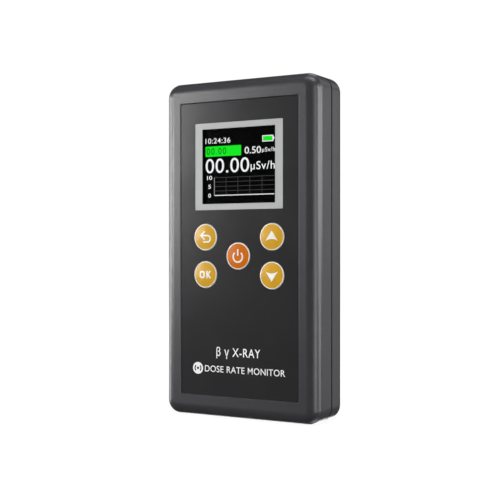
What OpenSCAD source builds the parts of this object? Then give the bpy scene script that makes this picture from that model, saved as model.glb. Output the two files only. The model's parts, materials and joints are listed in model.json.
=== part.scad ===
// Handheld radiation meter. A two-shell plastic case holds a front panel with a colour
// display and five keys, and inside it a counter tube, a battery and a circuit board.
//
// X runs to the right as seen from the front, Y from the front face to the back, Z up.
// The origin is the centre of the case's bottom face. Every outline is drawn as seen from
// the front, about the middle of the case, and every depth is counted from the front face.

/* [Case] */
// Height of the case
body_h = 125; // [122:1:130]
// Width of the case
body_w = 64.5; // [64:0.5:68]
// Depth from the front face to the back face
body_d = 23; // [23:0.5:26]
// Radius of the four corners, seen from the front
corner_r = 5.3; // [5:0.1:7]
// Rounding of the front edges
front_r = 4.4; // [3:0.1:4.6]
// Rounding of the back edges
rear_r = 4.8; // [3:0.1:4.9]
// Thickness of the shell walls
wall = 2.2; // [2:0.1:2.4]
// Depth of the front shell
front_shell_d = 11.55; // [11.3:0.05:11.8]
// Width of the shadow gap between the shells
seam_gap = 0.9; // [0.6:0.1:1.2]

/* [Front panel] */
// Width of the panel
panel_w = 49.6; // [48:0.2:50]
// Height of the panel
panel_h = 108.6; // [106:0.2:110]
// Thickness of the panel
panel_t = 0.5; // [0.4:0.1:0.6]
// How far the panel sits below the rim of the case
recess = 0.4; // [0.3:0.05:0.5]

/* [Display] */
// Width that shows inside the bezel
view_w = 30.8; // [29:0.2:31]
// Height that shows inside the bezel
view_h = 27.8; // [26:0.2:28]
// Outer width of the bezel
bezel_w = 37; // [36.6:0.2:38]
// Outer height of the bezel
bezel_h = 32.2; // [32:0.2:33]
// Height of the display's centre above the middle of the case
view_z = 30.5; // [29:0.5:32]
// Thickness of the clear window
lens_t = 0.5; // [0.4:0.1:0.8]

/* [Keys] */
// Diameter of a key
key_d = 9.9; // [9.6:0.1:10.2]
// Distance between the left and the right keys
key_pitch_x = 28.1; // [26:0.1:29]
// Distance between the upper and the lower keys
key_pitch_z = 13.9; // [13.2:0.1:14.5]
// Height of the middle key above the middle of the case
key_z = -2.65; // [-4:0.05:-2.5]
// Width of the pale ring round each key
ring_w = 0.4; // [0.3:0.05:0.6]

/* [Counter tube] */
// Diameter of the glass envelope
tube_d = 10; // [8:0.5:10]
// Length of the glass envelope
tube_l = 76; // [60:1:80]

/* [Hidden] */
$fn = 72;
eps = 0.01;

// Depths of the layers, counted from the front face
web_back = wall + 0.2;
pocket_d = recess + panel_t;
recess_bevel = 0.25;
lens_back = pocket_d + lens_t;
glass_front = lens_back + 0.1;
gasket_back = web_back + 0.5;
backlight_back = gasket_back + 2.5;
flange_front = web_back + 0.03;
flange_back = flange_front + 0.8;
board_front = 8;
board_back = board_front + 1.6;
rear_shell_front = front_shell_d + seam_gap;
rear_wall_front = body_d - wall;

// Clearances
fit = 0.1;
key_gap = 0.15;
slide_gap = 0.03;

// Case screws and their bosses
screw_inset = 8;
screw_x = body_w / 2 - screw_inset;
screw_z = body_h / 2 - screw_inset;
screw_shank_d = 2.6;
screw_head_d = 4.8;
screw_head_h = 1.9;
screw_seat = body_d - 4;
screw_tip = 5;
front_boss_d = 6.4;
rear_boss_d = 8;
counterbore_d = 5.6;

// Board and its screws
board_w = body_w - 6.8;
board_h = body_h - 6.8;
board_notch = 8.6;
board_screw_x = board_w / 2 - 2.7;
board_screw_z = 38;
board_screw_d = 2;
standoff_d = 4.8;

// Keys
cap_d = key_d - 2 * ring_w;
rim_top = recess - 0.05;
dome_h = 0.25;
dome_r = (cap_d * cap_d / 4 + dome_h * dome_h) / (2 * dome_h);
cap_back = rim_top + 0.35;
rim_round = 0.2;
flange_d = key_d + 1.8;
key_boss_d = 4;
stem_d = 3.4;
stem_front = flange_back + 0.35;
stem_l = 1.4;
switch_side = 6;
switch_front = board_front - 3.4;
icon_w = 0.6;
upper_z = key_z + key_pitch_z / 2;
lower_z = key_z - key_pitch_z / 2;
KEYS = [
    [-key_pitch_x / 2, upper_z],
    [-key_pitch_x / 2, lower_z],
    [0, key_z],
    [key_pitch_x / 2, upper_z],
    [key_pitch_x / 2, lower_z]
];

// Display module
glass_w = view_w + 2.6;
glass_h = view_h + 2.2;
window_w = glass_w + 1;
window_h = glass_h + 0.4;
backlight_w = 37;
backlight_h = 36;

// Ribbon from the display to the board
flex_w = 12;
flex_t = 0.2;
flex_bend_r = 1.2;
flex_start = view_z + backlight_h / 2 - 1.5;
flex_top = view_z + backlight_h / 2 + 1;
socket_front = board_front - 1.1;

// Counter tube
tube_x = -20.5;
tube_depth = board_back + 0.7 + tube_d / 2;
tube_wall = 0.7;
end_cap_d = 6.5;
end_cap_l = 6;

// USB socket
usb_w = 8.94;
usb_t = 3.26;
usb_l = 7.35;
usb_depth = board_front - usb_t / 2;
usb_inset = 0.6;

// Battery
battery_w = 34;
battery_h = 50;
battery_t = 8;
battery_x = 6;
battery_z = -23;
tape_t = 1;
battery_front = board_back + tape_t;
battery_back = battery_front + battery_t;
lead_d = 1.3;
lead_bend_r = 3;
lead_depth = board_back + 4.2;
socket_x = 20;
socket_z = 10;

// High-voltage transformer
coil_x = 6;
coil_z = 50;
coil_w = 11;
coil_t = 7;
coil_l = 5.6;
coil_leg = 3;
yoke_t = 2.2;

// Buzzer and the sound holes behind it
buzzer_x = 13;
buzzer_z = 29;
buzzer_d = 12;
buzzer_h = 7.5;
sound_hole_d = 1.5;
sound_ring_r = 3.2;

// Label recess in the back
label_w = 36;
label_h = 24;
label_z = -20;
label_recess = 0.4;

// ---------------------------------------------------------------- shapes

// Extrudes an outline, drawn as seen from the front, between two depths.
module slab(near, far) {
    translate([0, far - body_d / 2, body_h / 2])
        rotate([90, 0, 0])
            linear_extrude(far - near) children();
}

// Extrudes an outline drawn in X and depth upwards, from one height to another.
module column(low, high) {
    translate([0, -body_d / 2, body_h / 2 + low])
        linear_extrude(high - low) children();
}

// Extrudes an outline drawn in depth and Z sideways, centred on the case's width.
module across(width) {
    translate([-width / 2, -body_d / 2, body_h / 2])
        rotate([90, 0, 90])
            linear_extrude(width) children();
}

// Puts a copy of its children at each place in a list.
module each_at(places) {
    for (p = places) translate(p) children();
}

// Puts a copy of its children at the four places (+-x, +-z).
module four_at(x, z) {
    each_at([for (sx = [-1, 1], sz = [-1, 1]) [sx * x, sz * z]]) children();
}

module rounded_rect(w, h, r) {
    square([w, h - 2 * r], center = true);
    square([w - 2 * r, h], center = true);
    four_at(w / 2 - r, h / 2 - r) circle(r);
}

module frame_2d(outer_w, outer_h, inner_w, inner_h, r) {
    difference() {
        rounded_rect(outer_w, outer_h, r);
        square([inner_w, inner_h], center = true);
    }
}

// A straight stroke with round ends.
module stroke(a, b, w) {
    d = b - a;
    translate(a)
        rotate(atan2(d[1], d[0]))
            translate([0, -w / 2]) square([norm(d), w]);
    translate(a) circle(d = w);
    translate(b) circle(d = w);
}

// An arc of a ring, counter-clockwise from one angle to another, with round ends.
module arc_stroke(r, w, from, to) {
    reach = 3 * r;
    fan = [for (i = [0 : 6]) let (a = from + (to - from) * i / 6) reach * [cos(a), sin(a)]];
    intersection() {
        difference() {
            circle(r + w / 2);
            circle(r - w / 2);
        }
        polygon(concat([[0, 0]], fan));
    }
    for (a = [from, to]) translate(r * [cos(a), sin(a)]) circle(d = w);
}

// Section through a rounded edge: x outwards from the corner's centre, y in from the face.
module edge_section(reach, edge, depth) {
    difference() {
        square([reach, depth]);
        difference() {
            translate([reach - edge, -eps]) square([edge + eps, edge + eps]);
            translate([reach - edge, edge]) circle(edge);
        }
    }
}

// A block with rounded corners whose edges round off towards its face at z = 0.
module pan(w, h, corner, edge, depth) {
    cx = w / 2 - corner;
    cy = h / 2 - corner;
    translate([-cx, -cy, 0]) cube([2 * cx, 2 * cy, depth]);
    for (turn = [0, 180]) {
        rotate(turn)
            translate([cx, cy, 0])
                rotate([90, 0, 0]) linear_extrude(2 * cy) edge_section(corner, edge, depth);
        rotate(turn + 90)
            translate([cy, cx, 0])
                rotate([90, 0, 0]) linear_extrude(2 * cx) edge_section(corner, edge, depth);
        rotate(turn) {
            translate([cx, cy, 0])
                rotate_extrude(angle = 90) edge_section(corner, edge, depth);
            translate([-cx, cy, 0])
                rotate(90) rotate_extrude(angle = 90) edge_section(corner, edge, depth);
        }
    }
}

// Stands a pan up with its face towards the front, at a depth.
module front_pan(inset, depth_from, edge, depth) {
    translate([0, depth_from - body_d / 2, body_h / 2])
        rotate([-90, 0, 0])
            pan(body_w - 2 * inset, body_h - 2 * inset, corner_r - inset, edge, depth);
}

// Stands a pan up with its face towards the back.
module rear_pan(inset, depth_to, edge, depth) {
    translate([0, depth_to - body_d / 2, body_h / 2])
        rotate([90, 0, 0])
            pan(body_w - 2 * inset, body_h - 2 * inset, corner_r - inset, edge, depth);
}

// ---------------------------------------------------------------- case

module usb_outline(grow) {
    r = usb_t / 2 + grow;
    reach = usb_w / 2 - usb_t / 2;
    translate([0, usb_depth]) {
        square([2 * reach, 2 * r], center = true);
        for (s = [-1, 1]) translate([s * reach, 0]) circle(r);
    }
}

module key_guides() {
    guide_w = 1;
    guide_l = 1.6;
    tab_half = 0.8;
    each_at(KEYS)
        for (s = [-1, 1])
            translate([s * (tab_half + fit + guide_w / 2), -flange_d / 2 - fit - guide_l / 2])
                square([guide_w, guide_l], center = true);
}

// Wedge-sided cut that bevels the rim of the panel's recess.
module recess_flare() {
    half_w = panel_w / 2 + fit;
    half_h = panel_h / 2 + fit;
    wide = recess_bevel + 1;
    intersection() {
        column(-body_h / 2, body_h / 2)
            polygon([[-half_w - wide, -1], [half_w + wide, -1],
                     [half_w, recess_bevel], [-half_w, recess_bevel]]);
        across(body_w)
            polygon([[-1, -half_h - wide], [-1, half_h + wide],
                     [recess_bevel, half_h], [recess_bevel, -half_h]]);
    }
}

module front_shell() {
    color("dimgray") {
        difference() {
            union() {
                difference() {
                    front_pan(0, 0, front_r, front_shell_d);
                    front_pan(wall, web_back, front_r - wall, front_shell_d);
                }
                slab(web_back - eps, rear_shell_front - fit / 2)
                    four_at(screw_x, screw_z) circle(d = front_boss_d);
                slab(web_back - eps, board_front)
                    four_at(board_screw_x, board_screw_z) circle(d = standoff_d);
                slab(web_back - eps, flange_back + 0.6) key_guides();
            }
            slab(-1, pocket_d) rounded_rect(panel_w + 2 * fit, panel_h + 2 * fit, 0.6);
            recess_flare();
            slab(-1, web_back + 1) translate([0, view_z]) square([window_w, window_h], center = true);
            slab(-1, web_back + 1) each_at(KEYS) circle(d = key_d + 2 * key_gap);
            slab(screw_tip - 1, rear_shell_front + 1)
                four_at(screw_x, screw_z) circle(d = screw_shank_d + 0.05);
            slab(board_front - 4.5, board_front + 1)
                four_at(board_screw_x, board_screw_z) circle(d = board_screw_d + 0.05);
            column(-body_h / 2 - 1, -body_h / 2 + wall + 1) usb_outline(0.25);
        }
    }
}

// Straight lips that reach into the front shell and line the two halves up.
module rear_lips() {
    lip_t = 1;
    lip_x = body_w / 2 - wall - fit - lip_t / 2;
    lip_z = body_h / 2 - wall - fit - lip_t / 2;
    for (s = [-1, 1]) {
        translate([s * lip_x, 0]) square([lip_t, 60], center = true);
        translate([0, s * lip_z]) square([26, lip_t], center = true);
    }
}

module battery_fence() {
    fence_t = 1.2;
    for (s = [-1, 1])
        translate([battery_x, battery_z + s * (battery_h / 2 + fit + fence_t / 2)])
            square([battery_w, fence_t], center = true);
    translate([battery_x - battery_w / 2 - fit - fence_t / 2, battery_z])
        square([fence_t, battery_h], center = true);
}

module sound_holes() {
    translate([buzzer_x, buzzer_z]) {
        circle(d = sound_hole_d);
        for (i = [0 : 5]) rotate(60 * i) translate([sound_ring_r, 0]) circle(d = sound_hole_d);
    }
}

module rear_shell() {
    color("dimgray") {
        difference() {
            union() {
                difference() {
                    rear_pan(0, body_d, rear_r, body_d - rear_shell_front);
                    rear_pan(wall, rear_wall_front, rear_r - wall, body_d - rear_shell_front);
                }
                slab(rear_shell_front, rear_wall_front + eps)
                    four_at(screw_x, screw_z) circle(d = rear_boss_d);
                slab(front_shell_d - 1.6, rear_wall_front + eps) rear_lips();
                slab(battery_back - 3, rear_wall_front + eps) battery_fence();
            }
            slab(rear_shell_front - 1, body_d)
                four_at(screw_x, screw_z) circle(d = screw_shank_d + 0.3);
            slab(screw_seat, body_d + 1) four_at(screw_x, screw_z) circle(d = counterbore_d);
            slab(rear_wall_front - 1, body_d + 1) sound_holes();
            slab(body_d - label_recess, body_d + 1)
                translate([0, label_z]) rounded_rect(label_w + 2 * fit, label_h + 2 * fit, 1.5);
        }
    }
}

module case_seal() {
    inset_out = 0.7;
    inset_in = wall - 0.2;
    color("black")
        slab(front_shell_d, rear_shell_front)
            difference() {
                rounded_rect(body_w - 2 * inset_out, body_h - 2 * inset_out, corner_r - inset_out);
                rounded_rect(body_w - 2 * inset_in, body_h - 2 * inset_in, corner_r - inset_in);
            }
}

// One screw whose head faces the back: a shank, a pan head and a cross recess.
module screw(tip, seat, shank_d, head_d, head_h) {
    slot_w = head_d * 0.16;
    slot_l = head_d * 0.62;
    slot_depth = head_h * 0.6;
    difference() {
        union() {
            slab(tip, seat + eps) circle(d = shank_d);
            slab(seat, seat + head_h * 0.65) circle(d = head_d);
            slab(seat, seat + head_h) circle(d = head_d * 0.8);
        }
        slab(seat + head_h - slot_depth, seat + head_h + 1) {
            square([slot_l, slot_w], center = true);
            square([slot_w, slot_l], center = true);
        }
    }
}

module case_screws() {
    color("silver")
        for (sx = [-1, 1], sz = [-1, 1])
            translate([sx * screw_x, 0, sz * screw_z])
                screw(screw_tip, screw_seat, screw_shank_d, screw_head_d, screw_head_h);
}

module rear_label() {
    color("gray")
        slab(body_d - label_recess, body_d - label_recess + 0.25)
            translate([0, label_z]) rounded_rect(label_w, label_h, 1.4);
}

// ---------------------------------------------------------------- front panel and display

module front_panel() {
    color("black")
        slab(recess, pocket_d)
            difference() {
                rounded_rect(panel_w, panel_h, 0.5);
                translate([0, view_z])
                    square([bezel_w + 2 * fit, bezel_h + 2 * fit], center = true);
                each_at(KEYS) circle(d = key_d + 2 * key_gap);
            }
}

module display_bezel() {
    color("silver")
        slab(recess - 0.05, pocket_d)
            translate([0, view_z]) frame_2d(bezel_w, bezel_h, view_w, view_h, 0.3);
}

module display_lens() {
    color("lightblue")
        slab(pocket_d, lens_back)
            translate([0, view_z])
                rounded_rect(window_w - 2 * fit, window_h - 2 * fit, 0.5);
}

module display_gasket() {
    color("black")
        slab(web_back, gasket_back)
            translate([0, view_z])
                frame_2d(backlight_w - 0.6, backlight_h - 0.6, window_w, window_h, 0.5);
}

module display_glass() {
    color("darkslategray")
        slab(glass_front, gasket_back + 1)
            translate([0, view_z]) rounded_rect(glass_w, glass_h, 0.3);
}

module backlight_frame() {
    color("white")
        difference() {
            slab(gasket_back, backlight_back)
                translate([0, view_z]) rounded_rect(backlight_w, backlight_h, 0.8);
            slab(gasket_back - 1, gasket_back + 1 + slide_gap)
                translate([0, view_z])
                    square([glass_w + 2 * fit, glass_h + 2 * fit], center = true);
        }
}

module display_pad() {
    color("dimgray")
        slab(backlight_back, board_front)
            translate([0, view_z]) rounded_rect(backlight_w - 8, backlight_h - 8, 1);
}

// Ribbon from the top of the display that bends back and meets the board's connector.
module flex_run(depth, low, high) {
    translate([-flex_w / 2, depth - body_d / 2, body_h / 2 + low])
        cube([flex_w, flex_t, high - low]);
}

// A quarter bend about an axis along X, at a depth and height, from one angle.
module flex_bend(depth, height, start) {
    translate([-flex_w / 2, depth - body_d / 2, body_h / 2 + height])
        rotate([90, 0, 90])
            rotate(start)
                linear_extrude(flex_w)
                    intersection() {
                        difference() {
                            circle(flex_bend_r);
                            circle(flex_bend_r - flex_t);
                        }
                        square(flex_bend_r);
                    }
}

module display_flex() {
    back_run = socket_front + 0.4;
    color("darkorange") {
        flex_run(backlight_back, flex_start, flex_top);
        flex_bend(backlight_back + flex_bend_r, flex_top, 90);
        flex_bend(back_run + flex_t - flex_bend_r, flex_top + 2 * flex_bend_r - flex_t, -90);
        translate([-flex_w / 2, backlight_back + flex_bend_r - body_d / 2,
                   body_h / 2 + flex_top + flex_bend_r - flex_t])
            cube([flex_w, back_run + flex_t - 2 * flex_bend_r - backlight_back, flex_t]);
        flex_run(back_run, flex_top + 2 * flex_bend_r - flex_t, flex_top + 3.4);
    }
}

module flex_socket() {
    color("ivory")
        difference() {
            slab(socket_front, board_front)
                translate([0, flex_top + 4.4]) square([flex_w + 3, 3.6], center = true);
            slab(socket_front + 0.3, socket_front + 0.7)
                translate([0, flex_top + 3]) square([flex_w + 0.4, 2], center = true);
        }
}

// ---------------------------------------------------------------- keys

module back_icon() {
    shaft_z = 0.65;
    bow_r = 1.2;
    bow_x = 1;
    tip = [-1.9, shaft_z];
    stroke(tip, [-0.4, shaft_z + 1.4], icon_w);
    stroke(tip, [-0.4, shaft_z - 1.4], icon_w);
    stroke(tip, [bow_x, shaft_z], icon_w);
    translate([bow_x, shaft_z - bow_r]) arc_stroke(bow_r, icon_w, -90, 90);
    stroke([bow_x, shaft_z - 2 * bow_r], [-0.7, shaft_z - 2 * bow_r], icon_w);
}

module letter_o(w, h) {
    corner = 0.95;
    difference() {
        rounded_rect(w, h, corner);
        rounded_rect(w - 2 * icon_w, h - 2 * icon_w, corner - icon_w);
    }
}

module letter_k(w, h) {
    arm_w = icon_w * 1.3;
    polygon([
        [0, -h / 2], [icon_w, -h / 2], [icon_w, -0.35], [w - arm_w, -h / 2], [w, -h / 2],
        [icon_w + 0.5, 0.15], [w - 0.1, h / 2], [w - 0.1 - arm_w, h / 2],
        [icon_w, 0.25], [icon_w, h / 2], [0, h / 2]
    ]);
}

module ok_icon() {
    letter_h = 2.75;
    translate([-1.3, 0]) letter_o(2.3, letter_h);
    translate([0.5, 0]) letter_k(2.1, letter_h);
}

module power_icon() {
    ring_r = 1.95;
    drop = 0.25;
    opening = 42;
    far = 2 * ring_r;
    translate([0, -drop])
        difference() {
            circle(ring_r + icon_w / 2);
            circle(ring_r - icon_w / 2);
            polygon([[0, 0], far * [-tan(opening), 1], far * [tan(opening), 1]]);
        }
    translate([-icon_w / 2, 0.1]) square([icon_w, 2.4]);
}

module arrow_icon() {
    apex = 2.25;
    foot = -1.55;
    half = 2.55;
    hollow = 0.8;
    bow_r = (half * half + hollow * hollow) / (2 * hollow);
    difference() {
        polygon([[0, apex], [-half, foot], [half, foot]]);
        translate([0, foot + hollow - bow_r]) circle(bow_r);
    }
}

module icon(i) {
    if (i == 0) back_icon();
    if (i == 1) ok_icon();
    if (i == 2) power_icon();
    if (i == 3) arrow_icon();
    if (i == 4) rotate(180) arrow_icon();
}

// Turns a section round the axis of a key: x is the radius, y the depth.
module turned(at) {
    translate([at[0], -body_d / 2, body_h / 2 + at[1]])
        rotate([-90, 0, 0])
            rotate_extrude() children();
}

// Half section of a pale key body: a rim level with the panel round the hollow for the
// coloured cap, the flange that holds the key behind the case and the boss for the switch.
module carrier_section() {
    rim_r = key_d / 2;
    difference() {
        translate([0, rim_top]) square([rim_r, flange_front - rim_top + eps]);
        translate([-1, rim_top - 1]) square([cap_d / 2 + 1, cap_back - rim_top + 1]);
        difference() {
            translate([rim_r - rim_round, rim_top - eps])
                square([rim_round + eps, rim_round + eps]);
            translate([rim_r - rim_round, rim_top + rim_round]) circle(rim_round);
        }
    }
    translate([0, flange_front]) square([flange_d / 2, flange_back - flange_front]);
    translate([0, flange_back - eps])
        square([key_boss_d / 2, stem_front - slide_gap - flange_back + eps]);
}

// Half section of the crown: what lies between the cap's seat and its domed top.
module crown_section(back) {
    intersection() {
        translate([0, rim_top - dome_h]) square([cap_d / 2, back - rim_top + dome_h]);
        translate([0, rim_top - dome_h + dome_r]) circle(dome_r, $fn = 720);
    }
}

// Pale key body with its icon standing in the hollow and a tab that keeps it upright.
module key_carrier(i) {
    color("ivory") {
        turned(KEYS[i]) carrier_section();
        intersection() {
            turned(KEYS[i]) crown_section(cap_back + eps);
            slab(0, cap_back + 1) translate(KEYS[i]) icon(i);
        }
        slab(flange_front, flange_back)
            translate(KEYS[i] - [0, flange_d / 2 + 0.2]) square([1.6, 2], center = true);
    }
}

// Coloured, gently domed top of a key, with the icon cut out of it.
module key_cap(i, shade) {
    color(shade)
        difference() {
            turned(KEYS[i]) crown_section(cap_back);
            slab(-1, cap_back + 1) translate(KEYS[i]) icon(i);
        }
}

module switch_stem(i) {
    color("black")
        slab(stem_front, stem_front + stem_l) translate(KEYS[i]) circle(d = stem_d);
}

module switch_bases() {
    color("dimgray")
        difference() {
            slab(switch_front, board_front)
                each_at(KEYS) rounded_rect(switch_side, switch_side, 0.5);
            slab(switch_front - 1, stem_front + stem_l + 0.6)
                each_at(KEYS) circle(d = stem_d + 0.2);
        }
}

// ---------------------------------------------------------------- board

module main_board() {
    notch_x = board_w / 2 - board_notch / 2;
    notch_z = board_h / 2 - board_notch / 2;
    color("darkgreen")
        slab(board_front, board_back)
            difference() {
                rounded_rect(board_w, board_h, 1);
                four_at(notch_x + 1, notch_z + 1)
                    square([board_notch + 2, board_notch + 2], center = true);
                four_at(board_screw_x, board_screw_z) circle(d = board_screw_d + 0.3);
            }
}

module board_screws() {
    color("silver")
        for (sx = [-1, 1], sz = [-1, 1])
            translate([sx * board_screw_x, 0, sz * board_screw_z])
                screw(board_front - 4, board_back, board_screw_d, 3.8, 1.3);
}

module processor_chip() {
    chip = 10;
    pin_w = 0.3;
    pin_pitch = 0.8;
    color("black")
        slab(board_back, board_back + 1.4)
            translate([-2, 38]) {
                rounded_rect(chip, chip, 0.3);
                for (turn = [0 : 90 : 270], i = [-5 : 5])
                    rotate(turn)
                        translate([chip / 2 + 0.4, i * pin_pitch])
                            square([1, pin_w], center = true);
            }
}

module support_chips() {
    color("black")
        slab(board_back, board_back + 1.2)
            each_at([[23, 21], [-2, 26], [14, -54], [-12, -54]]) square([5, 4], center = true);
}

// Small resistors and capacitors in short rows on the back of the board.
module small_components() {
    color("tan")
        slab(board_back, board_back + 0.8)
            for (row = [[-8, 18], [5, 14], [-4, 56], [22, 44]], i = [0 : 3])
                translate([row[0], row[1] - 2.2 * i]) square([1.6, 0.9], center = true);
}

module usb_shell() {
    low = -body_h / 2 + usb_inset;
    color("silver")
        difference() {
            column(low, low + usb_l) usb_outline(0);
            column(low - 1, low + usb_l - 0.6) usb_outline(-0.3);
        }
}

module usb_tongue() {
    low = -body_h / 2 + usb_inset;
    color("black")
        column(low + 0.9, low + usb_l - 0.6)
            translate([0, usb_depth]) square([6.7, 0.7], center = true);
}

// ---------------------------------------------------------------- counter tube

// Extrudes an outline round the tube's axis between two heights.
module round_tube(low, high) {
    translate([tube_x, tube_depth - body_d / 2, body_h / 2 + low])
        linear_extrude(high - low) children();
}

module tube_envelope() {
    color("lightgray")
        round_tube(-tube_l / 2, tube_l / 2)
            difference() {
                circle(d = tube_d);
                circle(d = tube_d - 2 * tube_wall);
            }
}

module tube_cathode() {
    outer = tube_d - 2 * tube_wall - 0.1;
    color("gray")
        round_tube(-tube_l / 2 + 3, tube_l / 2 - 3)
            difference() {
                circle(d = outer);
                circle(d = outer - 0.5);
            }
}

module tube_anode() {
    color("gold") round_tube(-tube_l / 2, tube_l / 2) circle(d = 0.5);
}

module tube_end_caps() {
    flare_d = tube_d - 2 * tube_wall - 0.1;
    color("silver")
        for (side = [0, 1])
            mirror([0, 0, side])
                translate([0, 0, side * -body_h]) {
                    round_tube(tube_l / 2, tube_l / 2 + 0.8) circle(d = flare_d + 1);
                    round_tube(tube_l / 2 + 0.8 - eps, tube_l / 2 + end_cap_l) circle(d = end_cap_d);
                    round_tube(tube_l / 2 + end_cap_l - eps, tube_l / 2 + end_cap_l + 2)
                        circle(d = 1.2);
                }
}

// Two spring clips on the board that grip the tube's end caps.
module tube_clips() {
    clip_t = 0.4;
    clip_l = 3.6;
    grip_r = end_cap_d / 2 + 0.02;
    foot_y = board_back - tube_depth;
    color("silver")
        for (s = [-1, 1])
            round_tube(s * (tube_l / 2 + 3.2) - clip_l / 2, s * (tube_l / 2 + 3.2) + clip_l / 2) {
                difference() {
                    circle(grip_r + clip_t);
                    circle(grip_r);
                    translate([0, grip_r + 1.4]) square([4, 4], center = true);
                }
                difference() {
                    translate([-1.5, foot_y]) square([3, -foot_y - grip_r + 0.2]);
                    circle(grip_r);
                }
                translate([-3, foot_y]) square([6, clip_t]);
            }
}

// The transformer stands on the board with its middle leg upright between two yokes.
module hv_transformer_core() {
    color("dimgray") {
        slab(board_back, board_back + coil_t)
            translate([coil_x, coil_z])
                for (s = [-1, 1])
                    translate([0, s * (coil_l / 2 + yoke_t / 2)])
                        square([coil_w, yoke_t], center = true);
        slab(board_back + coil_t / 2 - coil_leg / 2, board_back + coil_t / 2 + coil_leg / 2)
            translate([coil_x, coil_z]) square([coil_leg, coil_l + eps], center = true);
    }
}

module hv_transformer_winding() {
    color("goldenrod")
        column(coil_z - coil_l / 2, coil_z + coil_l / 2)
            translate([coil_x, board_back + coil_t / 2])
                difference() {
                    rounded_rect(coil_w - 1.4, coil_t - 1, 1.2);
                    square([coil_leg, coil_leg], center = true);
                }
}

module hv_capacitors() {
    color("royalblue")
        slab(board_back, board_back + 6)
            each_at([[-10, 30], [-10, 38], [-10, 46]]) rounded_rect(3.4, 6, 1.6);
}

// ---------------------------------------------------------------- buzzer

module buzzer() {
    color("black")
        difference() {
            slab(board_back, board_back + buzzer_h)
                translate([buzzer_x, buzzer_z]) circle(d = buzzer_d);
            slab(board_back + 1, board_back + buzzer_h - 0.8)
                translate([buzzer_x, buzzer_z]) circle(d = buzzer_d - 1.6);
            slab(board_back + 1, board_back + buzzer_h + 1)
                translate([buzzer_x, buzzer_z]) circle(d = 2.4);
        }
}

module buzzer_mesh() {
    color("black")
        slab(rear_wall_front - 0.3, rear_wall_front)
            translate([buzzer_x, buzzer_z]) circle(d = 11);
}

// ---------------------------------------------------------------- battery

module battery_cell() {
    color("silver")
        slab(battery_front, battery_back)
            translate([battery_x, battery_z]) rounded_rect(battery_w, battery_h, 2);
}

module battery_tape() {
    color("yellow")
        slab(board_back, battery_front)
            translate([battery_x, battery_z]) rounded_rect(battery_w - 6, battery_h - 8, 1);
}

// Two wires that leave the top of the battery, turn right and run to the plug.
module battery_leads() {
    color("crimson")
        for (i = [0, 1]) {
            rise = socket_z + (i - 0.5) * 2 - battery_z - battery_h / 2;
            start_x = socket_x - 11 - (i - 0.5) * 2;
            translate([start_x, lead_depth - body_d / 2,
                       body_h / 2 + battery_z + battery_h / 2]) {
                cylinder(d = lead_d, h = rise - lead_bend_r);
                translate([lead_bend_r, 0, rise - lead_bend_r])
                    rotate([90, 0, 0])
                        rotate([0, 0, 90])
                            rotate_extrude(angle = 90)
                                translate([lead_bend_r, 0]) circle(d = lead_d);
                translate([lead_bend_r, 0, rise])
                    rotate([0, 90, 0])
                        cylinder(d = lead_d, h = socket_x - 4 - start_x - lead_bend_r);
            }
        }
}

module battery_plug() {
    color("white")
        slab(board_back + 1.6, board_back + 6.2)
            translate([socket_x - 2.4, socket_z]) square([3.2, 5.6], center = true);
}

module battery_socket() {
    color("white")
        difference() {
            slab(board_back, board_back + 6)
                translate([socket_x, socket_z]) square([6.4, 7.8], center = true);
            slab(board_back + 1.5, board_back + 7)
                translate([socket_x - 1.6, socket_z]) square([5, 5.8], center = true);
        }
}

// ---------------------------------------------------------------- nodes

front_shell();
rear_shell();
case_seal();
case_screws();
rear_label();
front_panel();
display_bezel();
display_lens();
display_gasket();
display_glass();
backlight_frame();
display_pad();
display_flex();
flex_socket();
key_carrier(0);  // key_back
key_carrier(1);  // key_ok
key_carrier(2);  // key_power
key_carrier(3);  // key_up
key_carrier(4);  // key_down
key_cap(0, "goldenrod");  // cap_back
key_cap(1, "goldenrod");  // cap_ok
key_cap(2, "chocolate");  // cap_power
key_cap(3, "goldenrod");  // cap_up
key_cap(4, "goldenrod");  // cap_down
switch_stem(0);  // stem_back
switch_stem(1);  // stem_ok
switch_stem(2);  // stem_power
switch_stem(3);  // stem_up
switch_stem(4);  // stem_down
switch_bases();
main_board();
board_screws();
processor_chip();
support_chips();
small_components();
usb_shell();
usb_tongue();
tube_envelope();
tube_cathode();
tube_anode();
tube_end_caps();
tube_clips();
hv_transformer_core();
hv_transformer_winding();
hv_capacitors();
buzzer();
buzzer_mesh();
battery_cell();
battery_tape();
battery_leads();
battery_plug();
battery_socket();
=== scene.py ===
"""Looks for a pocket radiation meter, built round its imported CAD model.

Lengths are metres in the model's frame: X to the right, Y from front to back, Z up.
The layouts of the prints and of the display are in millimetres from a named centre.
"""

import json
import math

import bmesh
import bpy
from mathutils import Matrix, Vector


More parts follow.
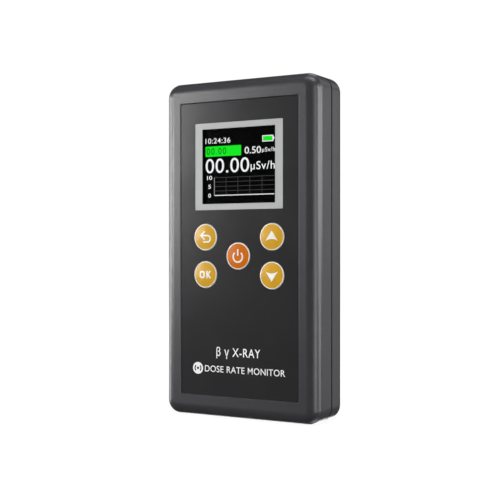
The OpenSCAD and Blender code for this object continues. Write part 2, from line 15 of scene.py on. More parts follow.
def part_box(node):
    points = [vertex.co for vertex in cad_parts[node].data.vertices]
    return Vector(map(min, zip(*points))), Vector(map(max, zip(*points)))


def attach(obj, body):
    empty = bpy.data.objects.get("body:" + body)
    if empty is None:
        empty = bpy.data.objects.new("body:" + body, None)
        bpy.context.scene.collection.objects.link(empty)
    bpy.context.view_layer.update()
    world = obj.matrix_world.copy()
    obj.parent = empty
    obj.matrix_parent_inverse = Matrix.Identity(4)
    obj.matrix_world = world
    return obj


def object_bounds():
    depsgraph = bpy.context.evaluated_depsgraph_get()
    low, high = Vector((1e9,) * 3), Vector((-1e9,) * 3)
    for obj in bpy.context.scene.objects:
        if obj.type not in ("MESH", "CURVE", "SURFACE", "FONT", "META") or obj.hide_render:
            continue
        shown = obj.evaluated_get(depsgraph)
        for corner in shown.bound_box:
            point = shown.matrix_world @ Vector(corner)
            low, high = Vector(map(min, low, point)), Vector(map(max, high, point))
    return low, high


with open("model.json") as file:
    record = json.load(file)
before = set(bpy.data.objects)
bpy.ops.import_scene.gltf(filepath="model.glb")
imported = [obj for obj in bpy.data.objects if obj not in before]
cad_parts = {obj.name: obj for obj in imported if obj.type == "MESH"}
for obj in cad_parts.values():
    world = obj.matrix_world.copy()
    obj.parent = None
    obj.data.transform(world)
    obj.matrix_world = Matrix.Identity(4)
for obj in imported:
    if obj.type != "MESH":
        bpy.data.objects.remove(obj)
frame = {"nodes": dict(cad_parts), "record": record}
cad_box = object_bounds()

MM = 0.001
CASE = "case"
# Thickness of every printed or lit shape, in millimetres
PRINT_THICKNESS = 0.02
# Distance between the pixels of the display
PIXEL = 0.12 * MM
# Distance from every light to the middle of the object
LIGHT_DISTANCE = 0.9


# ---------------------------------------------------------------- places

def centre_of(node):
    """The middle of a CAD node's box."""
    low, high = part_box(node)
    return (low + high) / 2


LOW, HIGH = cad_box
MIDDLE = (LOW + HIGH) / 2
PANEL_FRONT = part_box("front_panel")[0].y
GLASS_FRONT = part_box("display_glass")[0].y
WINDOW = centre_of("display_lens")
PANEL = centre_of("front_panel")


# ---------------------------------------------------------------- material graphs

class Graph:
    """One procedural material, with short calls to add and join nodes."""

    def __init__(self, name):
        self.material = bpy.data.materials.new(name)
        self.material.use_nodes = True
        self.tree = self.material.node_tree
        self.shader = self.tree.nodes["Principled BSDF"]
        self.place = self.add("ShaderNodeTexCoord").outputs["Object"]
        self.normal = None

    def add(self, kind, **settings):
        node = self.tree.nodes.new(kind)
        for key, value in settings.items():
            setattr(node, key, value)
        return node

    def link(self, source, target):
        """Joins an output, or a plain value, to an input."""
        if isinstance(source, bpy.types.NodeSocket):
            self.tree.links.new(source, target)
        else:
            target.default_value = source

    def set(self, **inputs):
        """Sets inputs of the main shader: base_color= goes to "Base Color"."""
        titles = {"ior": "IOR", "specular_ior_level": "Specular IOR Level"}
        for key, value in inputs.items():
            title = titles.get(key, key.replace("_", " ").title())
            self.link(value, self.shader.inputs[title])

    def noise(self, size, detail=2.0, stretch=(1, 1, 1), shift=0.0, rough=0.5):
        """Cloudy noise between 0 and 1 whose lumps are about size metres across."""
        mapping = self.add("ShaderNodeMapping")
        self.link(self.place, mapping.inputs["Vector"])
        mapping.inputs["Scale"].default_value = stretch
        mapping.inputs["Location"].default_value = (shift, shift * 0.7, shift * 1.3)
        noise = self.add("ShaderNodeTexNoise")
        self.link(mapping.outputs["Vector"], noise.inputs["Vector"])
        noise.inputs["Scale"].default_value = 1 / size
        noise.inputs["Detail"].default_value = detail
        noise.inputs["Roughness"].default_value = rough
        return noise.outputs["Fac"]

    def cells(self, size, feature="F1", stretch=(1, 1, 1)):
        """Distance within cells about size metres across."""
        mapping = self.add("ShaderNodeMapping")
        self.link(self.place, mapping.inputs["Vector"])
        mapping.inputs["Scale"].default_value = stretch
        cell = self.add("ShaderNodeTexVoronoi", feature=feature)
        self.link(mapping.outputs["Vector"], cell.inputs["Vector"])
        cell.inputs["Scale"].default_value = 1 / size
        return cell.outputs["Distance"]

    def span(self, value, low, high, out_low=0.0, out_high=1.0):
        """Maps low..high of a value to out_low..out_high, clamped."""
        node = self.add("ShaderNodeMapRange")
        self.link(value, node.inputs["Value"])
        node.inputs["From Min"].default_value = low
        node.inputs["From Max"].default_value = high
        node.inputs["To Min"].default_value = out_low
        node.inputs["To Max"].default_value = out_high
        return node.outputs["Result"]

    def maths(self, operation, a, b):
        node = self.add("ShaderNodeMath", operation=operation)
        self.link(a, node.inputs[0])
        self.link(b, node.inputs[1])
        return node.outputs["Value"]

    def blend(self, share, a, b):
        """Colour a where share is 0 and b where it is 1."""
        node = self.add("ShaderNodeMix", data_type="RGBA")
        self.link(share, node.inputs["Factor"])
        for value, socket in ((a, node.inputs["A"]), (b, node.inputs["B"])):
            self.link(value if isinstance(value, bpy.types.NodeSocket) else rgba(value), socket)
        return node.outputs["Result"]

    def bump(self, height, depth):
        """Adds a relief of the given depth in metres under the shader's normal."""
        node = self.add("ShaderNodeBump")
        node.inputs["Strength"].default_value = 1.0
        node.inputs["Distance"].default_value = depth
        self.link(height, node.inputs["Height"])
        if self.normal is not None:
            self.link(self.normal, node.inputs["Normal"])
        self.normal = node.outputs["Normal"]
        self.link(self.normal, self.shader.inputs["Normal"])

    def edge(self, radius):
        """About 1 on edges sharper than radius and 0 on open faces.

        It compares the face's normal with the normal of a rounded edge, by their cosine.
        """
        bevel = self.add("ShaderNodeBevel", samples=4)
        bevel.inputs["Radius"].default_value = radius
        geometry = self.add("ShaderNodeNewGeometry")
        dot = self.add("ShaderNodeVectorMath", operation="DOT_PRODUCT")
        self.link(bevel.outputs["Normal"], dot.inputs[0])
        self.link(geometry.outputs["Normal"], dot.inputs[1])
        return self.span(dot.outputs["Value"], 0.985, 0.85)


def rgba(color):
    return (*color[:3], 1.0)


def shade(color, factor):
    return tuple(min(1.0, c * factor) for c in color[:3])


# ---------------------------------------------------------------- materials

def grained_plastic(name, color, roughness, grain=0.42 * MM, depth=0.006 * MM, wear=0.0):
    """Moulded plastic with a fine spark-eroded skin, a mottle and, with wear, paler edges."""
    g = Graph(name)
    mottle = g.noise(9 * MM, detail=4)
    base = g.blend(g.span(mottle, 0.3, 0.7), shade(color, 0.93), shade(color, 1.07))
    skin = g.noise(grain, detail=3, rough=0.6)
    base = g.blend(g.span(skin, 0.35, 0.65, 0.3, 1), shade(color, 0.92), base)
    if wear:
        edge = g.edge(0.35 * MM)
        broken = g.span(g.noise(1.6 * MM, detail=3, shift=7.7), 0.4, 0.65)
        base = g.blend(g.maths("MULTIPLY", g.maths("MULTIPLY", edge, broken), wear),
                       base, shade(color, 2.6))
    g.set(base_color=base,
          roughness=g.span(skin, 0.3, 0.7, roughness - 0.03, roughness + 0.04))
    g.bump(skin, depth)
    return g.material


def smooth_plastic(name, color, roughness, coat=0.0, specular=0.5):
    """Moulded plastic with a satin skin and a faint mottle."""
    g = Graph(name)
    mottle = g.noise(3 * MM, detail=3)
    g.set(base_color=g.blend(g.span(mottle, 0.3, 0.7), shade(color, 0.96), shade(color, 1.04)),
          roughness=g.span(g.noise(0.8 * MM, detail=3, shift=2.3), 0.3, 0.7,
                           roughness - 0.02, roughness + 0.03),
          specular_ior_level=specular, coat_weight=coat, coat_roughness=0.12)
    g.bump(g.noise(0.5 * MM, detail=2), 0.001 * MM)
    return g.material


def film(name, color, roughness):
    """Satin film with a very fine texture and a trace of handling haze."""
    g = Graph(name)
    haze = g.span(g.noise(14 * MM, detail=5, shift=4.2), 0.35, 0.75)
    g.set(base_color=g.blend(haze, shade(color, 0.96), shade(color, 1.05)),
          roughness=g.maths("ADD", g.span(haze, 0, 1, roughness - 0.006, roughness + 0.008),
                            g.span(g.noise(0.6 * MM, detail=2), 0.3, 0.7, -0.012, 0.012)))
    g.bump(g.noise(0.12 * MM, detail=1, rough=0.4), 0.0006 * MM)
    return g.material


def faced_sheet(name, color, roughness):
    """Black sheet with a pale printed face: only the side towards the front is pale."""
    g = Graph(name)
    geometry = g.add("ShaderNodeNewGeometry")
    split = g.add("ShaderNodeSeparateXYZ")
    g.link(geometry.outputs["Normal"], split.inputs["Vector"])
    face = g.span(split.outputs["Y"], -0.9, -0.6, 1, 0)
    tone = g.span(g.noise(5 * MM, detail=4), 0.3, 0.7)
    pale = g.blend(tone, shade(color, 0.97), shade(color, 1.03))
    g.set(base_color=g.blend(face, (0.01, 0.01, 0.01), pale),
          roughness=g.span(g.noise(0.5 * MM, detail=2, shift=1.9), 0.3, 0.7,
                           roughness - 0.05, roughness + 0.06))
    g.bump(g.noise(0.3 * MM, detail=2), 0.002 * MM)
    return g.material


def brushed_metal(name, color, roughness):
    """Metal with fine drawn lines and slight staining."""
    g = Graph(name)
    lines = g.noise(0.6 * MM, detail=3, stretch=(1, 1, 14))
    stain = g.noise(5 * MM, detail=4, shift=8.3)
    g.set(base_color=g.blend(g.span(stain, 0.35, 0.7), shade(color, 0.88), color),
          metallic=1.0,
          roughness=g.span(lines, 0.3, 0.7, roughness - 0.07, roughness + 0.1))
    g.bump(lines, 0.004 * MM)
    return g.material


def rubber(name, color):
    """Soft matte rubber with a pitted skin."""
    g = Graph(name)
    g.set(base_color=g.blend(g.span(g.noise(1.5 * MM, detail=3), 0.3, 0.7), shade(color, 0.7),
                             shade(color, 1.35)),
          roughness=g.span(g.noise(0.4 * MM), 0.3, 0.7, 0.72, 0.88))
    g.bump(g.noise(0.15 * MM, detail=2), 0.01 * MM)
    return g.material


def clear_window(name):
    """Clear hard-coated window: see-through, with smears in a weak mirror on its outside."""
    g = Graph(name)
    smear = g.span(g.noise(6 * MM, detail=5, stretch=(1, 1, 2.4), rough=0.65), 0.45, 0.75)
    through = g.add("ShaderNodeBsdfTransparent")
    through.inputs["Color"].default_value = (0.97, 0.975, 0.98, 1)
    mirror = g.add("ShaderNodeBsdfGlossy")
    g.link(g.span(smear, 0, 1, 0.02, 0.05), mirror.inputs["Roughness"])
    fresnel = g.add("ShaderNodeFresnel")
    fresnel.inputs["IOR"].default_value = 1.2
    inside = g.add("ShaderNodeNewGeometry").outputs["Backfacing"]
    mix = g.add("ShaderNodeMixShader")
    g.link(g.maths("MULTIPLY", fresnel.outputs["Fac"], g.maths("SUBTRACT", 1.0, inside)),
           mix.inputs["Fac"])
    g.link(through.outputs["BSDF"], mix.inputs[1])
    g.link(mirror.outputs["BSDF"], mix.inputs[2])
    g.link(mix.outputs["Shader"], g.tree.nodes["Material Output"].inputs["Surface"])
    return g.material


def tube_glass(name):
    """Thin drawn glass, slightly wavy."""
    g = Graph(name)
    g.set(base_color=(0.86, 0.88, 0.88, 1), transmission_weight=0.9, ior=1.5,
          roughness=g.span(g.noise(4 * MM, detail=3), 0.3, 0.7, 0.03, 0.1))
    g.bump(g.noise(3 * MM, detail=2), 0.02 * MM)
    return g.material


def display_black(name):
    """The dark liquid crystal glass, with a barely visible pixel grid."""
    g = Graph(name)
    grid = g.cells(PIXEL, stretch=(1, 0.01, 1))
    g.set(base_color=g.blend(g.span(grid, 0.2, 0.6), (0.0012, 0.0012, 0.0014),
                             (0.0004, 0.0004, 0.0005)),
          roughness=g.span(g.noise(5 * MM, detail=2), 0.3, 0.7, 0.28, 0.36),
          specular_ior_level=0.01)
    return g.material


def lit(name, color, strength):
    """Lit display pixels: an even glow that falls a little between the pixels."""
    g = Graph(name)
    grid = g.cells(PIXEL, stretch=(1, 0.01, 1))
    glow = g.blend(g.span(grid, 0.25, 0.6), color, shade(color, 0.8))
    g.set(base_color=(0.01, 0.01, 0.01, 1), emission_color=glow, emission_strength=strength,
          roughness=0.5, specular_ior_level=0.0)
    return g.material


def ink(name, color):
    """Screen-printed ink: matte, a little uneven, with a thin film of relief."""
    g = Graph(name)
    cover = g.span(g.noise(0.25 * MM, detail=3), 0.25, 0.5)
    g.set(base_color=g.blend(cover, shade(color, 0.85), color),
          roughness=g.span(g.noise(0.7 * MM, detail=2, shift=1.1), 0.3, 0.7, 0.45, 0.6))
    g.bump(g.noise(0.08 * MM, detail=1), 0.002 * MM)
    return g.material


def circuit_board(name, color):
    """Green solder mask with fine copper runs showing through as lighter lines."""
    g = Graph(name)
    runs = g.cells(2.2 * MM, feature="DISTANCE_TO_EDGE", stretch=(1, 0.02, 1))
    copper = g.span(runs, 0.05, 0.09, 1, 0)
    g.set(base_color=g.blend(copper, color, (0.12, 0.42, 0.14)),
          roughness=g.span(g.noise(1.2 * MM, detail=2), 0.3, 0.7, 0.22, 0.34), coat_weight=0.4)
    g.bump(copper, 0.02 * MM)
    return g.material


def foil(name, color):
    """Crinkled aluminium pouch."""
    g = Graph(name)
    crease = g.noise(4 * MM, detail=5, rough=0.6)
    g.set(base_color=g.blend(g.span(crease, 0.3, 0.7), shade(color, 0.82), color), metallic=0.9,
          roughness=g.span(g.noise(1.3 * MM, detail=3), 0.3, 0.7, 0.3, 0.46))
    g.bump(crease, 0.12 * MM)
    return g.material


def woven(name, color):
    """Fine woven mesh with paler threads."""
    g = Graph(name)
    threads = g.cells(0.18 * MM, stretch=(1, 0.01, 1))
    g.set(base_color=g.blend(g.span(threads, 0.2, 0.6), shade(color, 2.2), color), roughness=0.85)
    g.bump(threads, 0.05 * MM)
    return g.material


def wound_wire(name, color):
    """Enamelled copper turns laid side by side up the coil."""
    g = Graph(name)
    wave = g.add("ShaderNodeTexWave", bands_direction="Z")
    g.link(g.place, wave.inputs["Vector"])
    wave.inputs["Scale"].default_value = 1 / (0.9 * MM)
    wave.inputs["Distortion"].default_value = 0.6
    turns = wave.outputs["Fac"]
    # Painted shade: the copper's colour falls to 0.45 in the grooves between the turns.
    g.set(base_color=g.blend(turns, shade(color, 0.45), color), metallic=0.8,
          roughness=g.span(turns, 0, 1, 0.5, 0.28))
    g.bump(turns, 0.08 * MM)
    return g.material


def sintered(name, color):
    """Pressed and fired powder, finely pored."""
    g = Graph(name)
    pores = g.span(g.noise(0.3 * MM, detail=4), 0.3, 0.7)
    g.set(base_color=g.blend(pores, shade(color, 0.75), shade(color, 1.25)),
          roughness=g.span(pores, 0, 1, 0.47, 0.65))
    g.bump(pores, 0.015 * MM)
    return g.material


COLORS = {m["slot"]: m["base_color"] for m in frame["record"]["materials"]}

# How each slot's material is made from its name and the record's colour. Some colours are
# shaded to fit the look under the studio lights.
MAKERS = {
    "case": lambda n, c: grained_plastic(n, c, 0.3, depth=0.01 * MM, wear=0.5),
    # Dark rubber, taken down to 0.4 as painted shade in the seam between the shells
    "seal": lambda n, c: rubber(n, shade(c, 0.4)),
    "screw": lambda n, c: brushed_metal(n, c, 0.34),
    "label": lambda n, c: film(n, c, 0.42),
    "panel": lambda n, c: film(n, c, 0.18),
    "bezel": lambda n, c: faced_sheet(n, shade(c, 0.94), 0.5),
    "lens": lambda n, c: clear_window(n),
    "display": lambda n, c: display_black(n),
    "white_plastic": lambda n, c: smooth_plastic(n, c, 0.5),
    "flex": lambda n, c: film(n, c, 0.35),
    "key_body": lambda n, c: smooth_plastic(n, c, 0.35),
    "cap_amber": lambda n, c: smooth_plastic(n, shade(c, 1.14), 0.24, specular=0.2),
    "cap_orange": lambda n, c: smooth_plastic(n, shade(c, 1.12), 0.26, specular=0.1),
    "black_plastic": lambda n, c: grained_plastic(n, c, 0.5),
    "board": circuit_board,
    "chip": lambda n, c: grained_plastic(n, c, 0.55, grain=0.1 * MM),
    "component": sintered,
    "tube_glass": lambda n, c: tube_glass(n),
    "tube_metal": lambda n, c: brushed_metal(n, c, 0.4),
    "anode": lambda n, c: brushed_metal(n, c, 0.25),
    "clip_metal": lambda n, c: brushed_metal(n, c, 0.3),
    "ferrite": sintered,
    "copper": wound_wire,
    "capacitor": lambda n, c: smooth_plastic(n, c, 0.3, coat=0.5),
    "mesh": woven,
    "foil": foil,
    "tape": lambda n, c: film(n, c, 0.45),
    "lead": lambda n, c: smooth_plastic(n, c, 0.4),
}
MATERIALS = {slot: MAKERS[slot]("mat_" + slot, COLORS[slot]) for slot in COLORS}


def dress_cad_nodes():
    """Gives every CAD node its slot's material."""
    for part in frame["record"]["subparts"]:
        node = frame["nodes"][part["node"]]
        node.data.materials.clear()
        node.data.materials.append(MATERIALS[part["material_slot"]])


# ---------------------------------------------------------------- flat shapes on the front

def rect(left, low, right, high):
    return [(left, low), (right, low), (right, high), (left, high)]


def arc(centre, radius, start, stop, steps=16):
    """Points on an arc, in degrees, counter-clockwise."""
    angles = [math.radians(start + (stop - start) * i / steps) for i in range(steps + 1)]
    return [(centre[0] + radius * math.cos(a), centre[1] + radius * math.sin(a)) for a in angles]


def disc(centre, radius, steps=48):
    return arc(centre, radius, 0, 360 - 360 / steps, steps - 1)


def rounded(left, low, right, high, radius):
    points = []
    corners = ((right - radius, low + radius, -90), (right - radius, high - radius, 0),
               (left + radius, high - radius, 90), (left + radius, low + radius, 180))
    for x, z, start in corners:
        points += arc((x, z), radius, start, start + 90, 6)
    return points


def band(centre, radius, width, start, stop):
    """The outline of an arc of a ring."""
    outer = arc(centre, radius + width / 2, start, stop)
    inner = arc(centre, radius - width / 2, start, stop)
    return outer + inner[::-1]


def stand_up(mesh, centre, surface):
    """Turns a print drawn in millimetres in X and Y to lie on a surface that faces the front."""
    upright = Matrix.Rotation(math.radians(90), 4, "X")
    place = Matrix.Translation((centre.x, surface - PRINT_THICKNESS / 2 * MM, centre.z))
    mesh.transform(place @ upright @ Matrix.Scale(MM, 4))


def curve_mesh(curve, name):
    """Turns a filled curve or a text into a clean closed mesh as thick as a print."""
    curve.extrude = PRINT_THICKNESS / 2
    holder = bpy.data.objects.new(name + "_curve", curve)
    bpy.context.scene.collection.objects.link(holder)
    graph = bpy.context.evaluated_depsgraph_get()
    mesh = bpy.data.meshes.new_from_object(holder.evaluated_get(graph))
    bpy.data.objects.remove(holder)
    bpy.data.curves.remove(curve)
    mesh.name = name
    tidy = bmesh.new()
    tidy.from_mesh(mesh)
    bmesh.ops.remove_doubles(tidy, verts=tidy.verts, dist=1e-5)
    bmesh.ops.recalc_face_normals(tidy, faces=tidy.faces)
    tidy.to_mesh(mesh)
    tidy.free()
    return mesh


def add_piece(name, mesh, material):
    """Puts a finished mesh in the scene and lets it ride on the case."""
    mesh.materials.clear()
    mesh.materials.append(material)
    piece = bpy.data.objects.new(name, mesh)
    bpy.context.scene.collection.objects.link(piece)
    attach(piece, CASE)
    return piece


def flat_shape(name, outlines, centre, surface, material):
    """A thin closed plate from outlines in millimetres. An outline inside another is a hole."""
    curve = bpy.data.curves.new(name, "CURVE")
    curve.dimensions = "2D"
    curve.fill_mode = "BOTH"
    for points in outlines:
        spline = curve.splines.new("POLY")
        spline.points.add(len(points) - 1)
        for point, (x, z) in zip(spline.points, points):
            point.co = (x, z, 0, 1)
        spline.use_cyclic_u = True
    mesh = curve_mesh(curve, name)
    stand_up(mesh, centre, surface)
    return add_piece(name, mesh, material)


def lettering(name, words, box, centre, surface, material, weight, gap):
    """Thin raised letters that fill a box (left, low, right, high) in millimetres.

    They are set at a size near their own, which weight and gap go by, then stretched.
    """
    curve = bpy.data.curves.new(name, "FONT")
    curve.body = words
    curve.size = 10
    curve.offset = weight
    curve.space_character = gap
    curve.resolution_u = 8
    mesh = curve_mesh(curve, name)
    xs = [v.co.x for v in mesh.vertices]
    ys = [v.co.y for v in mesh.vertices]
    left, low, right, high = box
    wide = (right - left) / (max(xs) - min(xs))
    tall = (high - low) / (max(ys) - min(ys))
    for v in mesh.vertices:
        v.co.x = left + (v.co.x - min(xs)) * wide
        v.co.y = low + (v.co.y - min(ys)) * tall
    stand_up(mesh, centre, surface)
    return add_piece(name, mesh, material)


# ---------------------------------------------------------------- front print

def print_panel():
    """The words and the mark under the keys, in white ink on the panel.

    The mark is a disc with a dot and two arcs left open in it.
    """
    white = ink("mat_white_ink", (0.95, 0.95, 0.94))
    centre = Vector((0, 0, PANEL.z))
    lettering("print_rays", "β γ X-RAY", (-9.3, -40.5, 9.3, -36.2), centre,
              PANEL_FRONT, white, weight=0.05, gap=1.1)
    lettering("print_words", "DOSE RATE MONITOR", (-14.3, -45.65, 19.4, -43.25), centre,
              PANEL_FRONT, white, weight=0.06, gap=1.05)
    mark = (-17.35, -44.5)
    half_angle = 48
    outlines = [disc(mark, 2.22), disc(mark, 0.5, 20)]
    for side in (0, 180):
        outlines.append(band(mark, 1.3, 0.5, side - half_angle, side + half_angle))
    flat_shape("print_mark", outlines, centre, PANEL_FRONT, white)


# ---------------------------------------------------------------- display content

def light_display():
    """Everything that the lit display shows, as thin shapes on its glass."""
    white = lit("mat_lit_white", (1, 1, 1), 1.05)
    grey = lit("mat_lit_grey", (0.3, 0.3, 0.3), 1.0)
    faint = lit("mat_lit_faint", (0.06, 0.06, 0.06), 1.0)
    green = lit("mat_lit_green", (0.002, 1.0, 0.014), 0.98)
    dark_green = lit("mat_lit_dark_green", (0.0, 0.2, 0.006), 1.0)
    # The picture sits a little to the left in its window.
    centre = Vector((WINDOW.x - 0.55 * MM, 0, WINDOW.z))

    def words(name, text, box, material, weight=0.1, gap=1.0, lift=0.0):
        lettering(name, text, box, centre, GLASS_FRONT - lift * MM, material,
                  weight, gap)

    def shape(name, outlines, material, lift=0.0):
        flat_shape(name, outlines, centre, GLASS_FRONT - lift * MM, material)

    words("screen_clock", "10:24:36", (-14.2, 8.6, -3.4, 10.6), white, 0.06, 1.1)
    shape("screen_bar", [rounded(-14.2, 3.75, 1.2, 7.55, 0.35)], green)
    words("screen_bar_rate", "00.00", (-13.6, 4.5, -5.2, 6.9), dark_green, 0.04, 1.25, lift=0.025)
    words("screen_limit", "0.50", (2.66, 4.23, 9.53, 6.75), white, 0.06)
    words("screen_limit_unit", "µSv/h", (9.9, 4.25, 15.3, 6.2), white, 0.06, 1.1)
    words("screen_rate", "00.00", (-14.1, -2.4, 4.58, 2.95), white, 0.02, 1.05)
    words("screen_rate_unit", "µSv/h", (5.2, -2.35, 15.2, 1.3), white, 0.04, 1.1)
    shape("screen_battery_case",
          [rect(10.05, 8.27, 14.56, 10.55), rect(10.35, 8.57, 14.26, 10.25)], white)
    shape("screen_battery_tip", [[(14.56, 8.6), (15.15, 9.41), (14.56, 10.22)]], white)
    shape("screen_battery_level", [rect(10.4, 8.62, 14.21, 10.2)], green)
    # The chart: its two axes, its faint grid and the numbers beside it
    left, right, low, high = -10.3, 15.0, -10.7, -4.1
    line = 0.3
    half_hair = 0.09
    shape("screen_axis_left", [rect(left - line / 2, low - line / 2, left + line / 2, high)], grey)
    shape("screen_axis_base", [rect(left + line / 2, low - line / 2, right, low + line / 2)], white)
    rows = 4
    for i in range(1, rows + 1):
        z = low + (high - low) * i / rows
        shape(f"screen_row_{i}",
              [rect(left + line / 2, z - half_hair, right, z + half_hair)], faint)
    columns = 5
    for i in range(1, columns):
        x = left + (right - left) * i / columns
        shape(f"screen_column_{i}",
              [rect(x - half_hair, low + line / 2, x + half_hair, high)], faint, lift=0.005)
    label_x = -12.4
    half_tall = 0.75
    for text, z in (("10", high), ("5", (low + high) / 2), ("0", low)):
        half_wide = 0.55 * len(text)
        box = (label_x - half_wide, z - half_tall, label_x + half_wide, z + half_tall)
        words("screen_label_" + text, text, box, white, 0.12)


# ---------------------------------------------------------------- rear label

def print_label():
    """A plain border and blank ruled fields on the rear label."""
    low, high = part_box("rear_label")
    middle = (low + high) / 2
    margin = 1.5
    border = 0.25
    half_rule = 0.1
    half_w = (high.x - low.x) / 2 / MM - margin
    half_h = (high.z - low.z) / 2 / MM - margin
    dark = ink("mat_dark_ink", (0.03, 0.03, 0.032))
    outlines = [rounded(-half_w, -half_h, half_w, half_h, 1),
                rounded(-half_w + border, -half_h + border, half_w - border, half_h - border,
                        0.8)]
    for i in (-1, 0, 1):
        z = i * half_h / 2
        outlines.append(rect(-half_w + 2, z - half_rule, half_w - 2, z + half_rule))
    piece = flat_shape("label_print", outlines, Vector((0, 0, 0)), 0, dark)
    # Drawn facing the front, then turned round to lie on the label's rear face
    turn = Matrix.Rotation(math.pi, 4, "Z")
    piece.data.transform(Matrix.Translation((middle.x, high.y, middle.z)) @ turn)


# ---------------------------------------------------------------- stage, lights and camera

def make_floor():
    """A wide pale floor with a painted shadow: its glow is a little weaker towards the object.

    Reflections, shadow rays and anything seen from below pass through it, so the lights
    that stand lower than the floor still light the object.
    """
    grid = bmesh.new()
    bmesh.ops.create_circle(grid, cap_ends=True, radius=6, segments=96)
    mesh = bpy.data.meshes.new("floor")
    grid.to_mesh(mesh)
    grid.free()
    floor = bpy.data.objects.new("floor", mesh)
    # Just clear of the object's foot
    floor.location.z = LOW.z - 0.02 * MM
    bpy.context.scene.collection.objects.link(floor)
    g = Graph("mat_floor")
    distance = g.add("ShaderNodeVectorMath", operation="LENGTH")
    g.link(g.place, distance.inputs[0])
    # Painted shadow: the glow is 0.93 near the object and rises to 1.02 by 0.32 m away.
    painted_shadow_fade = g.span(distance.outputs["Value"], 0.05, 0.32)
    paper = g.noise(3 * MM, detail=3)
    glow = g.add("ShaderNodeEmission")
    g.link(g.maths("ADD", g.span(painted_shadow_fade, 0, 1, 0.93, 1.02),
                   g.span(paper, 0.3, 0.7, -0.002, 0.002)),
           glow.inputs["Strength"])
    soft = g.add("ShaderNodeBsdfDiffuse")
    soft.inputs["Color"].default_value = (0.12, 0.12, 0.12, 1)
    seen = g.add("ShaderNodeAddShader")
    g.link(glow.outputs["Emission"], seen.inputs[0])
    g.link(soft.outputs["BSDF"], seen.inputs[1])
    path = g.add("ShaderNodeLightPath")
    top_side = g.add("ShaderNodeMixShader")
    g.link(path.outputs["Is Camera Ray"], top_side.inputs["Fac"])
    g.link(soft.outputs["BSDF"], top_side.inputs[1])
    g.link(seen.outputs["Shader"], top_side.inputs[2])
    open_to = g.maths("MAXIMUM", path.outputs["Is Glossy Ray"], path.outputs["Is Shadow Ray"])
    open_to = g.maths("MAXIMUM", open_to,
                      g.add("ShaderNodeNewGeometry").outputs["Backfacing"])
    either_side = g.add("ShaderNodeMixShader")
    g.link(open_to, either_side.inputs["Fac"])
    g.link(top_side.outputs["Shader"], either_side.inputs[1])
    g.link(g.add("ShaderNodeBsdfTransparent").outputs["BSDF"], either_side.inputs[2])
    g.link(either_side.outputs["Shader"], g.tree.nodes["Material Output"].inputs["Surface"])
    mesh.materials.append(g.material)


def make_world(ambient, behind):
    """White to the camera. To everything else a dim room, darker behind the object."""
    world = bpy.data.worlds.new("studio")
    bpy.context.scene.world = world
    world.use_nodes = True
    tree = world.node_tree
    room = tree.nodes["Background"]
    room.inputs["Color"].default_value = (0.94, 0.93, 1.0, 1)
    split = tree.nodes.new("ShaderNodeSeparateXYZ")
    tree.links.new(tree.nodes.new("ShaderNodeTexCoord").outputs["Generated"],
                   split.inputs["Vector"])
    fall = tree.nodes.new("ShaderNodeMapRange")
    tree.links.new(split.outputs["Y"], fall.inputs["Value"])
    fall.inputs["From Min"].default_value = -0.3
    fall.inputs["From Max"].default_value = 0.5
    fall.inputs["To Min"].default_value = ambient
    fall.inputs["To Max"].default_value = behind
    tree.links.new(fall.outputs["Result"], room.inputs["Strength"])
    backdrop = tree.nodes.new("ShaderNodeBackground")
    backdrop.inputs["Color"].default_value = (1, 1, 1, 1)
    backdrop.inputs["Strength"].default_value = 1.02
    path = tree.nodes.new("ShaderNodeLightPath")
    mix = tree.nodes.new("ShaderNodeMixShader")
    tree.links.new(path.outputs["Is Camera Ray"], mix.inputs["Fac"])
    tree.links.new(room.outputs["Background"], mix.inputs[1])
    tree.links.new(backdrop.outputs["Background"], mix.inputs[2])
    tree.links.new(mix.outputs["Shader"], tree.nodes["World Output"].inputs["Surface"])


def from_bearing(azimuth, elevation, distance):
    """A point round the object. Azimuth 0 is in front and grows to the right."""
    a, e = math.radians(azimuth), math.radians(elevation)
    return MIDDLE + distance * Vector((math.sin(a) * math.cos(e), -math.cos(a) * math.cos(e),
                                       math.sin(e)))


def add_softbox(name, azimuth, elevation, width, height, power):
    """A soft panel of light aimed at the object."""
    data = bpy.data.lights.new(name, "AREA")
    data.shape = "RECTANGLE"
    data.size = width
    data.size_y = height
    data.energy = power
    light = bpy.data.objects.new(name, data)
    bpy.context.scene.collection.objects.link(light)
    light.location = from_bearing(azimuth, elevation, LIGHT_DISTANCE)
    light.rotation_mode = "QUATERNION"
    light.rotation_quaternion = (MIDDLE - light.location).to_track_quat("-Z", "Y")
    light.visible_camera = False
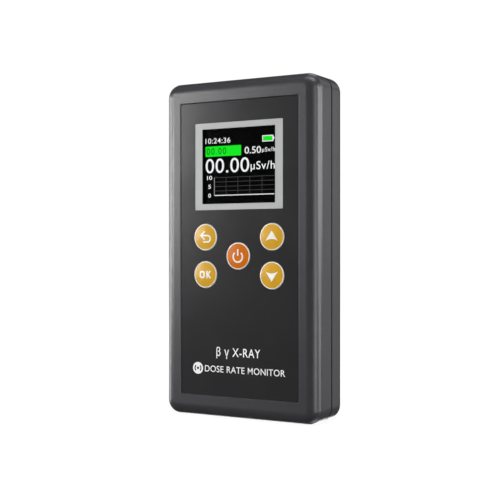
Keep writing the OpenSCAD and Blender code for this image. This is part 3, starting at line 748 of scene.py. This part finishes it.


# Most of the powers, and the directions and sizes of key and strip_mid, are rounded results
# of solvers that ran outside this script. They also chose which lights to keep out of a
# longer list. The other directions and sizes, and the last three powers, were set one by one.
SOFTBOXES = (
    # name, azimuth and elevation in degrees, width and height in metres, watts
    ("key", -69, 5, 0.216, 0.341, 3.2),
    ("strip_mid", -42, 11, 0.076, 0.378, 2.0),
    ("strip_low", -46, 4, 0.08, 0.2, 1.5),
    ("strip_high", -39, 16, 0.06, 0.3, 0.8),
    ("left", -95, 0, 0.25, 0.5, 2.7),
    ("right_front", 55, 1, 0.22, 0.5, 0.75),
    ("right_high", 69, 9, 0.22, 0.25, 0.5),
    ("right_low", 69, -7, 0.22, 0.25, 1.1),
    ("side_high", 97, 9, 0.22, 0.25, 1.9),
    ("side_low", 97, -7, 0.22, 0.25, 0.2),
    ("side", 113, 1, 0.28, 0.5, 2.2),
    ("side_back", 131, 9, 0.28, 0.25, 1.2),
    ("side_rear", 149, 1, 0.28, 0.5, 0.23),
    ("overhead", 0, 70, 0.5, 0.4, 1.6),
    ("overhead_right", 60, 60, 0.4, 0.4, 2.8),
    ("rear_right", 155, 32, 0.35, 0.35, 0.25),
    ("back", 185, 60, 0.4, 0.4, 1.1),
    ("back_low", 205, -25, 0.5, 0.5, 2.4),
    ("below", 150, -65, 0.5, 0.5, 1.5),
)


def light_studio():
    for softbox in SOFTBOXES:
        add_softbox(*softbox)


def make_camera():
    """A long lens, level with the middle of the case and to the right of its front."""
    azimuth = math.radians(29.7)
    distance = 0.3718
    aim = Vector((5.24 * MM, LOW.y, MIDDLE.z))
    data = bpy.data.cameras.new("camera")
    data.sensor_width = 36
    data.lens = 73.83
    data.shift_y = -0.0024
    data.clip_start = 0.01
    data.clip_end = 50
    camera = bpy.data.objects.new("camera", data)
    bpy.context.scene.collection.objects.link(camera)
    back = Vector((math.sin(azimuth), -math.cos(azimuth), 0))
    camera.location = aim + distance * back
    camera.rotation_mode = "QUATERNION"
    camera.rotation_quaternion = (-back).to_track_quat("-Z", "Y")
    bpy.context.scene.camera = camera


# ---------------------------------------------------------------- build

dress_cad_nodes()
print_panel()
light_display()
print_label()
make_floor()
make_world(ambient=0.1, behind=0.03)
light_studio()
make_camera()
bpy.context.scene.view_settings.view_transform = "Standard"
